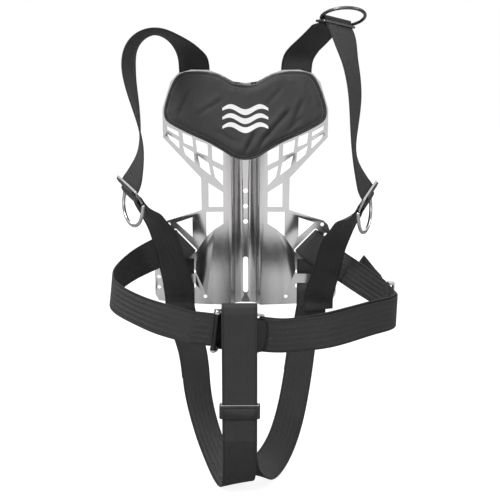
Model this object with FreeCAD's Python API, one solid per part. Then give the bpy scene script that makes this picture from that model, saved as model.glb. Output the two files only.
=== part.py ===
"""Steel back plate and webbing harness of a diver's buoyancy compensator.

Millimetres. +Z is up the wearer's back, +Y points away from the wearer and
-Y is the wearer's front. The origin is the middle tank bolt hole, on the
rear face of the plate's channel floor.
"""
import FreeCAD
import Part
import math
import os

Vec = FreeCAD.Vector
UP = Vec(0, 0, 1)

# ---------------------------------------------------------------- dimensions
WEB_W = 50.0              # width of all the harness webbing
WEB_T = 2.2               # thickness of one layer
STEPS = 5                 # sections between two stations of a strap

PLATE_T = 3.0
CHANNEL_FLOOR = 9.5       # half width of the channel's flat floor
CHANNEL_KNEE = 19.0       # half width at the knee in the channel's wall
CHANNEL_TOP = 26.0        # half width of the channel at the plate
CHANNEL_DEEP = 22.0
KNEE_DEEP = 15.0
WING_BEND = 52.0          # half width where the wings start to bend forward
WING_END = 156.0
WING_ANGLE = 4.0          # degrees forward

BOLT_PITCH = 26.5
BOLT_HOLE_R = 4.25
KEY_SLOT_W = 9.0
KEY_SLOT_LOW = -152.0
KEY_SLOT_HIGH = -88.0

BELT_SLOT_X = 102.0
BELT_SLOT_Z = -54.5
BELT_SLOT = (54.0, 7.0)
LOCK_X = 112.5            # middle of the two level slots
LOCK_SLOT_L = 56.0
UPPER_LOCK = (-112.2, -104.8)
LOWER_LOCK = (-138.4, -128.4)
TOP_SLOT_X = 83.0
TOP_SLOT_Z = 192.0
TOP_SLOT = (55.0, 8.0)

PAD_BACK = -8.8           # rear face of the pad
PAD_T = 10.0
PIPING_R = 1.8

GLIDE = (60.0, 26.0, 3.0)    # width, height, thickness of a three-bar glide
GLIDE_SLOT = (53.0, 7.0)
GLIDE_SLOT_V = 5.1

RING_WIRE = 2.5           # radius of the ring wire
RING_R = 29.0             # radius of the round end, at the wire's centre
RING_LEG = 14.0
RING_V = -16.5            # ring bar below the middle of its glide
TOP_RING_R = 33.0         # radius of the shoulder ring, at the wire's centre
TOP_RING_BAR = 28.0       # half length of its straight bar

BUCKLE_L = 72.0
BUCKLE_W = 60.0
BUCKLE_T = 2.0
BUCKLE_WEB = 2.8          # height of the webbing over the buckle's zero level
BASE_LEVEL = -2.4
PIN_R = 2.0
PIN_U = -31.0
PIN_LEVEL = 7.4
PIN_GAP = 0.06
LEVER_T = 1.6

SLIDER = (58.0, 20.0)     # width and height of the crotch slider
KEEPER_L = 10.0           # hip keeper, along the belt

# ------------------------------------------------------------ strap stations
# Each station is the strap's centre and the direction of its width.
SHOULDER_LEFT_UPPER = [
    ((-83, 0.9, 238), (1.00, 0.05, 0.00)),
    ((-83.5, -0.4, 245), (0.99, -0.10, 0.00)),
    ((-88, -9, 254), (0.86, -0.50, 0.03)),
    ((-99, -30, 270), (0.72, -0.70, 0.00)),
    ((-118, -55, 282), (0.47, -0.88, 0.00)),
    ((-140, -80, 285), (0.20, -0.98, 0.09)),
    ((-164, -110, 268), (-0.20, -0.97, 0.15)),
    ((-172, -130, 244), (-0.27, -0.96, 0.10)),
    ((-170, -150, 216), (-0.23, -0.97, 0.08)),
    ((-161, -168, 183), (-0.11, -0.99, 0.07)),
    ((-152, -180, 143), (0.12, -0.99, 0.07)),
    ((-150, -186, 117), (0.25, -0.97, 0.03)),
    ((-153, -190, 97), (0.38, -0.92, 0.03)),
]
SHOULDER_LEFT_LOWER = [
    ((-145, -152, 21), (0.68, -0.73, 0.09)),
    ((-137, -138, 3), (0.77, -0.64, 0.02)),
    ((-129, -122, -14), (0.88, -0.47, 0.03)),
    ((-123, -105, -42), (0.89, -0.45, 0.06)),
    ((-116, -84, -77), (0.95, -0.32, 0.07)),
    ((-112, -52, -112), (1.00, -0.07, 0.02)),
]
SHOULDER_RIGHT_UPPER = [
    ((83, 1.2, 238), (1.00, -0.06, 0.00)),
    ((83.5, 0.6, 245), (0.99, -0.03, 0.00)),
    ((90, -8, 256), (0.92, 0.34, -0.15)),
    ((106, -30, 272), (0.84, 0.48, -0.20)),
    ((118, -47, 285), (0.85, 0.50, -0.18)),
]
SHOULDER_RIGHT_FRONT = [
    ((148, -108, 278), (0.84, 0.50, -0.18)),
    ((150, -126, 258), (0.66, 0.74, -0.12)),
    ((156, -142, 235), (0.52, 0.86, -0.02)),
    ((159, -158, 210), (0.46, 0.88, -0.02)),
    ((160, -172, 184), (0.41, 0.91, -0.04)),
    ((158, -182, 149), (0.33, 0.94, -0.07)),
    ((157, -188, 117), (0.18, 0.97, -0.12)),
    ((161, -191, 92), (0.25, 0.96, -0.10)),
]
SHOULDER_RIGHT_LOWER = [
    ((156, -155, 9), (0.53, 0.80, -0.28)),
    ((149, -138, -9), (0.64, 0.74, -0.23)),
    ((141, -122, -29), (0.80, 0.55, -0.24)),
    ((135, -105, -55), (0.89, 0.44, -0.09)),
    ((129, -92, -90), (0.96, 0.29, 0.00)),
    ((125, -52, -122), (1.00, 0.10, 0.00)),
]
BELT_LEFT = [
    ((-125, -25, -61), (0.48, 0.10, -0.87)),
    ((-147, -58, -66), (0.26, 0.10, -0.96)),
    ((-171, -98, -72), (0.00, 0.00, -1.00)),
    ((-188, -132, -79), (-0.07, 0.08, -0.99)),
    ((-199, -163, -88), (-0.11, 0.00, -0.99)),
    ((-200, -189, -94), (-0.12, 0.00, -0.99)),
    ((-190, -212, -99), (-0.04, 0.03, -1.00)),
    ((-171, -232, -104), (0.10, 0.00, -0.99)),
    ((-150, -248, -109), (0.16, 0.00, -0.98)),
    ((-127, -262, -114), (0.12, 0.00, -0.99)),
    ((-103, -272, -118), (0.03, 0.05, -0.99)),
]
BELT_RIGHT = [
    ((129, -30, -72), (-0.38, 0.01, -0.92)),
    ((156, -62, -86), (-0.17, 0.05, -0.98)),
    ((174, -88, -94), (-0.20, 0.12, -0.97)),
    ((201, -124, -107), (-0.08, 0.18, -0.98)),
]
HIP_CENTRE = Vec(219, -172, -115)
HIP_ALONG = Vec(0.13, -0.99, -0.06)
HIP_WIDTH = (0.00, 0.10, -0.995)
HIP_STRAIGHT = (-30, -10, 10, 30)
BELT_RIGHT_FRONT = [
    ((213, -224, -117), (-0.04, 0.12, -0.99)),
    ((189, -242, -117), (-0.06, 0.08, -0.99)),
    ((158, -258, -121), (-0.08, 0.04, -1.00)),
    ((128, -267, -127), (-0.05, 0.04, -1.00)),
    ((100, -271, -132), (-0.02, 0.08, -0.99)),
]
BELT_TAIL = [
    ((209, -128, -109), (-0.06, 0.10, -0.99)),
    ((197, -110, -101), (-0.22, 0.12, -0.96)),
    ((187, -94, -92), (-0.38, 0.14, -0.91)),
    ((178, -80, -83), (-0.45, 0.15, -0.88)),
]
CROTCH_LEFT = [
    ((-98, -4, -225), (0.96, 0.25, -0.10)),
    ((-88, -18, -262), (0.94, 0.31, -0.11)),
    ((-82, -43, -305), (0.89, 0.42, -0.14)),
    ((-72, -75, -337), (0.83, 0.53, -0.13)),
    ((-58, -110, -366), (0.82, 0.54, -0.15)),
    ((-41, -148, -386), (0.86, 0.49, -0.05)),
    ((-24, -184, -398), (0.93, 0.30, 0.15)),
    ((-13, -216, -393), (0.97, 0.12, 0.15)),
    ((-9, -245, -368), (1.00, 0.03, 0.05)),
    ((-7.5, -268, -333), (1.00, 0.00, 0.00)),
]
CROTCH_RIGHT = [
    ((100, -2, -225), (0.97, 0.22, -0.06)),
    ((92, -20, -272), (0.97, 0.20, -0.10)),
    ((82, -50, -318), (0.96, 0.22, -0.16)),
    ((71, -82, -350), (0.94, 0.28, -0.18)),
    ((58, -115, -372), (0.90, 0.32, -0.28)),
    ((42, -150, -385), (0.88, 0.33, -0.30)),
    ((24, -184, -388), (0.91, 0.20, -0.32)),
    ((8, -214, -378), (0.97, 0.05, -0.20)),
    ((-3, -240, -357), (1.00, 0.00, -0.06)),
    ((-7, -263, -326), (1.00, 0.00, 0.00)),
]

# ------------------------------------------------------------ plate outlines
# Right half, from the top centre round to the bottom centre.
PLATE_EDGE = [
    (0, 206.5), (20, 209.5), (41, 221.5), (60, 228), (88, 228.5), (110, 222.5), (122, 209),
    (135.7, 166), (135.7, 119), (74, 51.5), (73.5, -3), (131, -20), (138.5, -27),
    (143, -40), (154, -104), (154, -147), (148, -158), (120, -163), (60, -167), (0, -169),
]
WINDOWS = [
    [(37, 95.5), (56, 104.5), (55, 81), (37, 72)],
    [(37.5, 63), (55, 72), (51, 52.5), (37.5, 38)],
    [(63, 107.5), (82.5, 115), (80, 95), (62, 87.5)],
    [(61, 76), (79.5, 89.5), (75, 69), (57.5, 55)],
    [(88, 119.5), (104, 126.5), (102, 109.5), (86.5, 103)],
    [(86, 94), (103.5, 105.5), (100, 91), (84.5, 77)],
    [(110.5, 128), (129, 138), (128.5, 131.5), (109.5, 120)],
    [(109.5, 113), (129, 125.5), (125, 116), (109, 100)],
    [(37.4, 27), (62, 43), (62, 2), (37.4, 2)],
    [(37.4, -6), (66, -6), (66, -48), (52, -36), (37.4, -27)],
    [(89.4, -15), (116.8, -23.6), (89.4, -49)],
]
SMALL_HOLES = [(147.5, -117), (147.5, -135), (69, -153), (129, -26.5), (135, -44)]
SMALL_HOLE_R = 3.2

# Right half of the pad, from the top centre round to the bottom centre.
PAD_EDGE = [
    (0, 205), (20, 208), (41, 220), (60, 225), (88, 226), (108, 221), (119, 206),
    (129, 180), (133, 161), (131, 149), (119, 139), (92, 125), (59, 110), (37, 97),
    (20, 87), (0, 82.5),
]


# ------------------------------------------------------------------- helpers
def spline(stations, steps=STEPS):
    """Dense centres and width directions on a smooth curve through stations."""
    pts = [(Vec(*c), Vec(*w).normalize()) for c, w in stations]
    last = len(pts) - 1
    out = []
    for i in range(last):
        four = [pts[min(max(j, 0), last)] for j in range(i - 1, i + 3)]
        for k in range(steps):
            f = k / steps
            out.append((cubic([p[0] for p in four], f), cubic([p[1] for p in four], f)))
    out.append(pts[-1])
    return out


def cubic(p, f):
    a = p[1] * 2
    b = (p[2] - p[0]) * f
    c = (p[0] * 2 - p[1] * 5 + p[2] * 4 - p[3]) * (f * f)
    d = (p[1] * 3 - p[0] - p[2] * 3 + p[3]) * (f * f * f)
    return (a + b + c + d) * 0.5


def rounded(points, radius, chords=4):
    """A flat line through (v, w) points with its corners rounded."""
    out = [points[0]]
    for before, here, after in zip(points, points[1:], points[2:]):
        a = Vec(before[0] - here[0], before[1] - here[1], 0)
        b = Vec(after[0] - here[0], after[1] - here[1], 0)
        reach = min(radius / math.tan(a.getAngle(b) / 2), 0.49 * a.Length, 0.49 * b.Length)
        middle = Vec(here[0], here[1], 0)
        start = middle + a.normalize() * reach
        end = middle + b.normalize() * reach
        for k in range(chords + 1):
            f = k / chords
            p = start * ((1 - f) ** 2) + middle * (2 * f * (1 - f)) + end * (f * f)
            out.append((p.x, p.y))
    out.append(points[-1])
    return out


class Spot:
    """A local frame: u across the strap, v along it and w outward."""

    def __init__(self, origin, across, along):
        self.o = Vec(*origin)
        self.u = Vec(*across).normalize()
        v = Vec(*along)
        self.v = (v - self.u * v.dot(self.u)).normalize()
        self.w = self.u.cross(self.v)

    def at(self, u, v, w):
        return self.o + self.u * u + self.v * v + self.w * w

    def path(self, points, shift=0.0):
        return [(self.at(shift, v, w), Vec(self.u)) for v, w in points]

    def place(self, shape):
        m = FreeCAD.Matrix(
            self.u.x, self.v.x, self.w.x, self.o.x,
            self.u.y, self.v.y, self.w.y, self.o.y,
            self.u.z, self.v.z, self.w.z, self.o.z,
            0, 0, 0, 1)
        out = shape.copy()
        out.Placement = FreeCAD.Placement(m)
        return out


def frames(path):
    out = []
    last = len(path) - 1
    for i, (c, w) in enumerate(path):
        along = path[min(i + 1, last)][0] - path[max(i - 1, 0)][0]
        along.normalize()
        side = (w - along * w.dot(along)).normalize()
        out.append((c, side, along.cross(side)))
    return out


def layer(path, rise):
    """The same path raised along its normal; rise is (length, height) pairs."""
    out = []
    run = 0.0
    before = None
    for c, side, normal in frames(path):
        if before is not None:
            run += (c - before).Length
        before = c
        out.append((c + normal * step_value(rise, run), side))
    return out


def step_value(pairs, x):
    if x <= pairs[0][0]:
        return pairs[0][1]
    for (x0, y0), (x1, y1) in zip(pairs, pairs[1:]):
        if x <= x1:
            return y0 + (y1 - y0) * (x - x0) / (x1 - x0)
    return pairs[-1][1]


def part_of(path, start, end):
    """The points of a path between two lengths along it."""
    out = []
    run = 0.0
    for i, p in enumerate(path):
        if i:
            run += (p[0] - path[i - 1][0]).Length
        if start <= run <= end:
            out.append(p)
    return out


def web(path, width=WEB_W, thick=WEB_T):
    wires = []
    for c, side, normal in frames(path):
        a = side * (width / 2)
        b = normal * (thick / 2)
        corners = [c + a + b, c - a + b, c - a - b, c + a - b, c + a + b]
        wires.append(Part.makePolygon(corners))
    return Part.makeLoft(wires, True, True)


def box(u, v, w):
    """A box from three (low, high) pairs."""
    return Part.makeBox(u[1] - u[0], v[1] - v[0], w[1] - w[0], Vec(u[0], v[0], w[0]))


def prism(points, low, high):
    """An XZ outline extruded along Y."""
    face = Part.Face(Part.makePolygon([Vec(x, low, z) for x, z in points + points[:1]]))
    return face.extrude(Vec(0, high - low, 0))


def both_sides(half):
    return half + [(-x, z) for x, z in reversed(half) if x > 0]


def mirrored(points):
    return [(-x, z) for x, z in points]


def rod(start, end, radius):
    return Part.makeCylinder(radius, (end - start).Length, start, end - start)


def wing_y(x):
    """Middle of the plate's thickness at a distance x from the centre."""
    return -max(abs(x) - WING_BEND, 0) * math.tan(math.radians(WING_ANGLE))


# --------------------------------------------------------------------- plate
def plate_sheet():
    line = [
        (0, CHANNEL_DEEP), (CHANNEL_FLOOR, CHANNEL_DEEP), (CHANNEL_KNEE, KNEE_DEEP),
        (CHANNEL_TOP, 0), (WING_BEND, 0), (WING_END, wing_y(WING_END)),
    ]
    whole = [(-x, y) for x, y in reversed(line) if x > 0] + line
    front = offset_line(whole, -PLATE_T / 2)
    rear = offset_line(whole, PLATE_T / 2)
    ring = front + rear[::-1] + front[:1]
    face = Part.Face(Part.makePolygon([Vec(x, y, -180) for x, y in ring]))
    return face.extrude(Vec(0, 0, 430))


def offset_line(line, d):
    out = []
    for i, (x, y) in enumerate(line):
        a = Vec(*line[max(i - 1, 0)], 0)
        b = Vec(x, y, 0)
        c = Vec(*line[min(i + 1, len(line) - 1)], 0)
        normals = [Vec(-s.y, s.x, 0).normalize() for s in (b - a, c - b) if s.Length > 0]
        mean = normals[0] + normals[-1]
        mean.normalize()
        reach = d / mean.dot(normals[0])
        out.append((x + mean.x * reach, y + mean.y * reach))
    return out


def level_slot(x, low, high, length):
    """A slot with round ends, cut through along Y."""
    r = (high - low) / 2
    z = (high + low) / 2
    body = box((x - length / 2 + r, x + length / 2 - r), (-20, 40), (low, high))
    for end in (x - length / 2 + r, x + length / 2 - r):
        body = body.fuse(Part.makeCylinder(r, 60, Vec(end, -20, z), Vec(0, 1, 0)))
    return body


def back_plate():
    plate = plate_sheet().common(prism(both_sides(PLATE_EDGE), -30, 40))
    cuts = []
    for window in WINDOWS:
        cuts.append(prism(window, -30, 40))
        cuts.append(prism(mirrored(window), -30, 40))
    for x, z in SMALL_HOLES:
        for side in (-1, 1):
            cuts.append(Part.makeCylinder(SMALL_HOLE_R, 70, Vec(side * x, -30, z), Vec(0, 1, 0)))
    for i in (-1, 0, 1):
        cuts.append(Part.makeCylinder(BOLT_HOLE_R, 70, Vec(0, -30, i * BOLT_PITCH), Vec(0, 1, 0)))
    half = (KEY_SLOT_HIGH - KEY_SLOT_LOW) / 2 - KEY_SLOT_W / 2
    middle = (KEY_SLOT_HIGH + KEY_SLOT_LOW) / 2
    cuts.append(box((-KEY_SLOT_W / 2, KEY_SLOT_W / 2), (-30, 40), (middle - half, middle + half)))
    for z in (middle - half, middle + half):
        cuts.append(Part.makeCylinder(KEY_SLOT_W / 2, 70, Vec(0, -30, z), Vec(0, 1, 0)))
    for side in (-1, 1):
        slot = level_slot(0, -BELT_SLOT[1] / 2, BELT_SLOT[1] / 2, BELT_SLOT[0])
        slot.rotate(Vec(0, 0, 0), Vec(0, 1, 0), -side * 46.5)
        slot.translate(Vec(side * BELT_SLOT_X, 0, BELT_SLOT_Z))
        cuts.append(slot)
        cuts.append(level_slot(side * LOCK_X, *UPPER_LOCK, LOCK_SLOT_L))
        cuts.append(level_slot(side * LOCK_X, *LOWER_LOCK, LOCK_SLOT_L))
        half_slot = TOP_SLOT[1] / 2
        cuts.append(level_slot(side * TOP_SLOT_X, TOP_SLOT_Z - half_slot, TOP_SLOT_Z + half_slot,
                               TOP_SLOT[0]))
    return plate.cut(cuts)


# ----------------------------------------------------------------------- pad
def curved_face(half, y, inset=0.0):
    """A smooth closed outline through the points of a mirrored half."""
    pts = both_sides(half)
    if inset:
        mid = Vec(0, y, 160)
        moved = []
        for x, z in pts:
            p = Vec(x, y, z)
            moved.append(p + (mid - p).normalize() * inset)
    else:
        moved = [Vec(x, y, z) for x, z in pts]
    curve = Part.BSplineCurve()
    curve.interpolate(Points=moved, PeriodicFlag=True)
    return Part.Wire(curve.toShape())


def back_pad():
    wires = [
        curved_face(PAD_EDGE, PAD_BACK, 4.5),
        curved_face(PAD_EDGE, PAD_BACK - PAD_T, 4.5),
    ]
    return Part.makeLoft(wires, True, True)


def pad_binding():
    outer = Part.Face(curved_face(PAD_EDGE, PAD_BACK - 2.5)).extrude(Vec(0, -4.5, 0))
    inner = Part.Face(curved_face(PAD_EDGE, PAD_BACK - 1.5, 4.1)).extrude(Vec(0, -6.5, 0))
    return outer.cut(inner)


# ----------------------------------------------------------- metal fittings
def glide():
    """Three-bar glide, flat, with its slots level."""
    w, h, t = GLIDE
    body = box((-w / 2, w / 2), (-h / 2, h / 2), (-t / 2, t / 2))
    body = body.makeFillet(4.0, [e for e in body.Edges if abs(e.tangentAt(0).z) > 0.9])
    sw, sh = GLIDE_SLOT
    for v in (-GLIDE_SLOT_V, GLIDE_SLOT_V):
        body = body.cut(box((-sw / 2, sw / 2), (v - sh / 2, v + sh / 2), (-t, t)))
    return body


def ring():
    """D ring lying below its bar, which is on the local u axis."""
    bar = rod(Vec(-RING_R, 0, 0), Vec(RING_R, 0, 0), RING_WIRE)
    parts = []
    for side in (-RING_R, RING_R):
        parts.append(Part.makeSphere(RING_WIRE, Vec(side, 0, 0)))
        parts.append(rod(Vec(side, 0, 0), Vec(side, -RING_LEG, 0), RING_WIRE))
    arc = Part.makeTorus(RING_R, RING_WIRE, Vec(0, 0, 0), Vec(0, 0, 1), 0, 360, 180)
    arc.rotate(Vec(0, 0, 0), Vec(0, 0, 1), 180)
    arc.translate(Vec(0, -RING_LEG, 0))
    parts.append(arc)
    return bar.fuse(parts).removeSplitter()


def round_ring():
    """Nearly round ring lying below its short bar, which is on the local u axis."""
    rise = math.asin(math.sqrt(1 - (TOP_RING_BAR / TOP_RING_R) ** 2))
    span = 180 + 2 * math.degrees(rise)
    arc = Part.makeTorus(TOP_RING_R, RING_WIRE, Vec(0, 0, 0), Vec(0, 0, 1), 0, 360, span)
    arc.rotate(Vec(0, 0, 0), Vec(0, 0, 1), 180 - math.degrees(rise))
    arc.translate(Vec(0, -TOP_RING_R * math.sin(rise), 0))
    ends = [Vec(-TOP_RING_BAR, 0, 0), Vec(TOP_RING_BAR, 0, 0)]
    balls = [Part.makeSphere(RING_WIRE, end) for end in ends]
    return rod(ends[0], ends[1], RING_WIRE).fuse(balls + [arc]).removeSplitter()


# ------------------------------------------------------------- local frames
GLIDE_LEFT = Spot((-168, -189, 58), (0.55, -0.77, -0.32), (-0.28, -0.51, 0.75))
GLIDE_RIGHT = Spot((180, -189, 49), (0.40, 0.85, 0.33), (0.25, -0.45, 0.82))
GLIDE_TOP = Spot((138, -80, 297), (0.85, 0.50, -0.165), (-0.48, 0.86, 0.0))
TOP_RING_DOWN = Vec(-0.53, 0.79, -0.32)     # from the shoulder ring's round end to its bar
RING_ON_TOP = GLIDE[2] / 2 + 0.3 + RING_WIRE
BUCKLE = Spot((-10, -279, -130), (0.993, 0, -0.115), (0.115, -0.10, 0.988))
SPINE = Spot((-7, -290, 0), (1, 0, 0), (0, 0, 1))       # front of the crotch strap
SLIDER_SPOT = Spot(SPINE.at(0, -245, 0), SPINE.u, SPINE.v)
HIP = Spot(HIP_CENTRE, HIP_WIDTH, HIP_ALONG * -1)


def plate_spot(side, x=LOCK_X):
    """Frame on the middle of a wing: u across, v up, w forward."""
    tilt = math.radians(WING_ANGLE)
    return Spot((side * x, wing_y(x), 0), (math.cos(tilt), -side * math.sin(tilt), 0), (0, 0, 1))


def chest_ring_spot(glide_spot):
    """Chest ring on its bar below the glide, hanging straight down."""
    return Spot(glide_spot.at(0, RING_V, 0), glide_spot.u, UP)


def top_ring_spot():
    """Shoulder ring standing forward, on its bar over the glide's middle bar."""
    return Spot(GLIDE_TOP.at(0, 0, RING_ON_TOP), GLIDE_TOP.u, TOP_RING_DOWN)


# -------------------------------------------------------------------- straps
WEB_GAP = 0.4
LAYER_1 = PLATE_T / 2 + WEB_GAP + WEB_T / 2
LAYER_2 = LAYER_1 + WEB_T + WEB_GAP
LAYER_3 = LAYER_2 + WEB_T + 0.5
FRONT_OF_BAR = GLIDE[2] / 2 + WEB_GAP + WEB_T / 2
FRONT_OF_RING = RING_WIRE + WEB_GAP + WEB_T / 2


def top_lock(side, x):
    """Webbing end in front of the plate, passed back through the top slot."""
    spot = plate_spot(side, x)
    z = TOP_SLOT_Z
    line = [(z - 42, LAYER_1), (z - 2.5, LAYER_1), (z + 2.5, -LAYER_1), (z + 34, -LAYER_1)]
    return spot.path(rounded(line, 3.0))


def glide_end(spot, main):
    """Webbing passed through a glide's upper slot from behind and turned up over its bar."""
    line = [(10, -FRONT_OF_BAR - 7), (GLIDE_SLOT_V, -FRONT_OF_BAR + 0.5),
            (GLIDE_SLOT_V, FRONT_OF_BAR), (13, FRONT_OF_BAR + 0.3)]
    return main + spot.path(rounded(line, 2.2))


def glide_start(spot):
    """Sewn loop round a glide's lower bar and the bar of its ring."""
    low = -GLIDE_SLOT_V
    line = [(-38, -FRONT_OF_RING + 2.2), (-26, -FRONT_OF_RING + 2.4), (-19, FRONT_OF_RING),
            (low, FRONT_OF_RING), (low, -FRONT_OF_RING), (-19, -FRONT_OF_RING - 0.3),
            (-30, -FRONT_OF_RING - 1)]
    return spot.path(rounded(line, 2.6))


def shoulder_lock(side, lean):
    """End of a shoulder strap, folded and threaded through the level slots.

    lean is how far the front layer lies outside the slots' middle.
    """
    spot = plate_spot(side)
    fold = [(-150, LAYER_3 + 4), (-160, LAYER_3), (-171, LAYER_3),
            (-173.2, (LAYER_2 + LAYER_3) / 2), (-171, LAYER_2)]
    out = spot.path(fold, side * lean)
    out += spot.path([(-158, LAYER_2)], side * lean * 0.65)
    out += spot.path([(-147, LAYER_2)], side * lean * 0.25)
    line = [(-141, LAYER_2), (-135.5, LAYER_2), (-129.5, -LAYER_1), (-111.3, -LAYER_1),
            (-106.4, LAYER_1), (-86, LAYER_1)]
    return out + spot.path(rounded(line, 3.0))


def shoulder_left_upper():
    main = top_lock(-1, TOP_SLOT_X) + spline(SHOULDER_LEFT_UPPER)
    return web(glide_end(GLIDE_LEFT, main))


def shoulder_right_upper():
    main = top_lock(1, TOP_SLOT_X) + spline(SHOULDER_RIGHT_UPPER)
    low = -FRONT_OF_BAR
    high = RING_ON_TOP + FRONT_OF_RING + 0.2
    line = [(25, low - 2), (16, low - 0.4), (7.4, low), (4.9, 2.5), (4.4, high),
            (-4.4, high), (-4.9, 2.5), (-7.4, low), (-17, low - 1)]
    main += GLIDE_TOP.path(rounded(line, 1.6)) + spline(SHOULDER_RIGHT_FRONT)
    return web(glide_end(GLIDE_RIGHT, main))


def shoulder_lower(side, spot, stations, lean):
    return web(glide_start(spot) + spline(stations) + shoulder_lock(side, lean))


def belt_lock(side):
    """Belt end behind the plate, brought forward through its slanting slot."""
    wing = plate_spot(side, BELT_SLOT_X)
    across = wing.u * (-side * 0.688) - UP * 0.725
    out_down = wing.u * (side * 0.725) - UP * 0.688
    spot = Spot(wing.at(0, BELT_SLOT_Z, 0), across, out_down)
    forward = 1 if spot.w.y < 0 else -1
    line = [(42, -LAYER_1 - 0.3), (0, -LAYER_1 - 0.3), (0, LAYER_1), (6, LAYER_1 + 7)]
    return spot.path([(v, forward * w) for v, w in rounded(line, 2.2)])


def belt_right_path():
    straight = [((HIP_CENTRE + HIP_ALONG * d), HIP_WIDTH) for d in HIP_STRAIGHT]
    stations = BELT_RIGHT + straight + BELT_RIGHT_FRONT
    return belt_lock(1) + spline(stations)


def belt_right():
    end = [(66, BASE_LEVEL - 2.5), (29, BASE_LEVEL - 2.5), (29, 0.0), (60, 0.0)]
    turn = [(BUCKLE.at(u, 0, w), BUCKLE.v * -1) for u, w in rounded(end, 1.2)]
    return web(belt_right_path() + turn)


def belt_left():
    main = belt_lock(-1) + spline(BELT_LEFT)
    for u in (-66, -40, -20, 0, 20, 40, 58):
        main.append((BUCKLE.at(u, 0, BUCKLE_WEB), BUCKLE.v * -1))
    inner = belt_right_path()
    total = sum((b[0] - a[0]).Length for a, b in zip(inner, inner[1:]))
    outer = layer(part_of(inner, 205, total - 4), [(0, 2.9), (250, 2.9), (330, 4.5)])
    lowered = [(c - UP * 3, w) for c, w in outer]
    tail = spline(BELT_TAIL)
    return web(main + lowered[::-1] + tail)


def crotch_start(side):
    """Tail in front of the plate, over the lower slot's edge and down behind."""
    spot = plate_spot(side)
    line = [(-168, LAYER_1), (-136.6, LAYER_1), (-136.6, -LAYER_1), (-190, -LAYER_1)]
    return spot.path(rounded(line, 2.2))


def crotch_left():
    strand = spline([(plate_spot(-1).at(0, -190, -LAYER_1), (1, 0, 0))] + CROTCH_LEFT)
    tail = part_of(layer(strand, [(0, -5.6), (22, -2.8), (200, -2.8)]), 8, 112)
    front = SPINE.path([(-290, 0), (-160, 0), (-100, 3), (-92, 1), (-88.5, -8), (-92, -17),
                        (-100, -20), (-160, -24), (-198, -8), (-209, -5.2), (-274, -5.2)])
    return web(tail[::-1] + crotch_start(-1) + strand[1:] + front)


def crotch_right():
    strand = spline([(plate_spot(1).at(0, -190, -LAYER_1), (1, 0, 0))] + CROTCH_RIGHT)
    tail = part_of(layer(strand, [(0, -5.6), (22, -2.8), (200, -2.8)]), 8, 112)
    front = SPINE.path([(-290, -2.6), (-208, -2.6)])
    return web(tail[::-1] + crotch_start(1) + strand[1:] + front)


# -------------------------------------------------------------------- buckle
def buckle_base():
    low = BASE_LEVEL - BUCKLE_T / 2
    high = BASE_LEVEL + BUCKLE_T / 2
    half_l = BUCKLE_L / 2
    half_w = BUCKLE_W / 2
    base = box((-half_l, half_l), (-half_w, half_w), (low, high))
    base = base.makeFillet(6.0, [e for e in base.Edges if abs(e.tangentAt(0).z) > 0.9])
    base = base.cut(box((25.5, 32), (-26.5, 26.5), (low - 1, high + 1)))
    base = base.cut(box((-20, 15), (-16, 16), (low - 1, high + 1)))
    for side in (-1, 1):
        ear = box((-36, -24), sorted((side * 27.5, side * 30)), (high - 0.5, PIN_LEVEL))
        ear = ear.fuse(Part.makeCylinder(5.0, 2.5, Vec(PIN_U, min(side * 27.5, side * 30), PIN_LEVEL),
                                         Vec(0, 1, 0)))
        base = base.fuse(ear)
    pin = rod(Vec(PIN_U, -40, PIN_LEVEL), Vec(PIN_U, 40, PIN_LEVEL), PIN_R + 0.02)
    return BUCKLE.place(base.cut(pin).removeSplitter())


def buckle_pin():
    pin = rod(Vec(PIN_U, -31.5, PIN_LEVEL), Vec(PIN_U, 31.5, PIN_LEVEL), PIN_R)
    for side in (-1, 1):
        end = rod(Vec(PIN_U, side * 30.3, PIN_LEVEL), Vec(PIN_U, side * 31.8, PIN_LEVEL), PIN_R + 1)
        pin = pin.fuse(end)
    return BUCKLE.place(pin.removeSplitter())


def buckle_lever():
    level = PIN_LEVEL - 1.0
    plate = box((PIN_U, 40), (-24, 24), (level - LEVER_T / 2, level + LEVER_T / 2))
    tip = Part.makeCylinder(60, LEVER_T, Vec(-19, 0, level - LEVER_T / 2))
    plate = plate.common(tip)
    plate = plate.cut(box((-12, 14), (-13, 13), (level - 3, level + 3)))
    cam = rod(Vec(PIN_U, -26.8, PIN_LEVEL), Vec(PIN_U, 26.8, PIN_LEVEL), PIN_R + 1.2)
    bore = rod(Vec(PIN_U, -30, PIN_LEVEL), Vec(PIN_U, 30, PIN_LEVEL), PIN_R + PIN_GAP)
    return BUCKLE.place(plate.fuse(cam).cut(bore).removeSplitter())


# ------------------------------------------------------- sliders and keepers
def crotch_slider():
    w, h = SLIDER
    low = -5.2 - WEB_T / 2 - 0.35
    high = WEB_T / 2 + 0.35
    body = box((-w / 2, w / 2), (-h / 2, h / 2), (low - 1.8, high + 1.8))
    body = body.makeFillet(2.5, [e for e in body.Edges if abs(e.tangentAt(0).z) > 0.9])
    body = body.cut(box((-25.6, 25.6), (-h, h), (low, high)))
    for v in (-4.4, 4.4):
        body = body.cut(box((-24, 24), (v - 1.5, v + 1.5), (0, 10)))
    return SLIDER_SPOT.place(body)


def slider_cover():
    """Short webbing hump sewn over the slider's middle bar."""
    high = WEB_T / 2 + 0.35 + 1.8
    line = [(-5.6, high + 0.2), (-4, high + 1.1), (0, high + 1.5), (4, high + 1.1), (5.6, high + 0.2)]
    return web(SLIDER_SPOT.path(line), 48.0, 1.2)


def hip_keeper():
    low = -WEB_T / 2 - 0.35
    high = 2.9 + WEB_T / 2 + 0.35
    half = KEEPER_L / 2
    body = box((-31.5, 33), (-half, half), (low - 1.6, high + 1.6))
    body = body.cut(box((-28, 29.5), (-half - 1, half + 1), (low, high)))
    return HIP.place(body)


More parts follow.
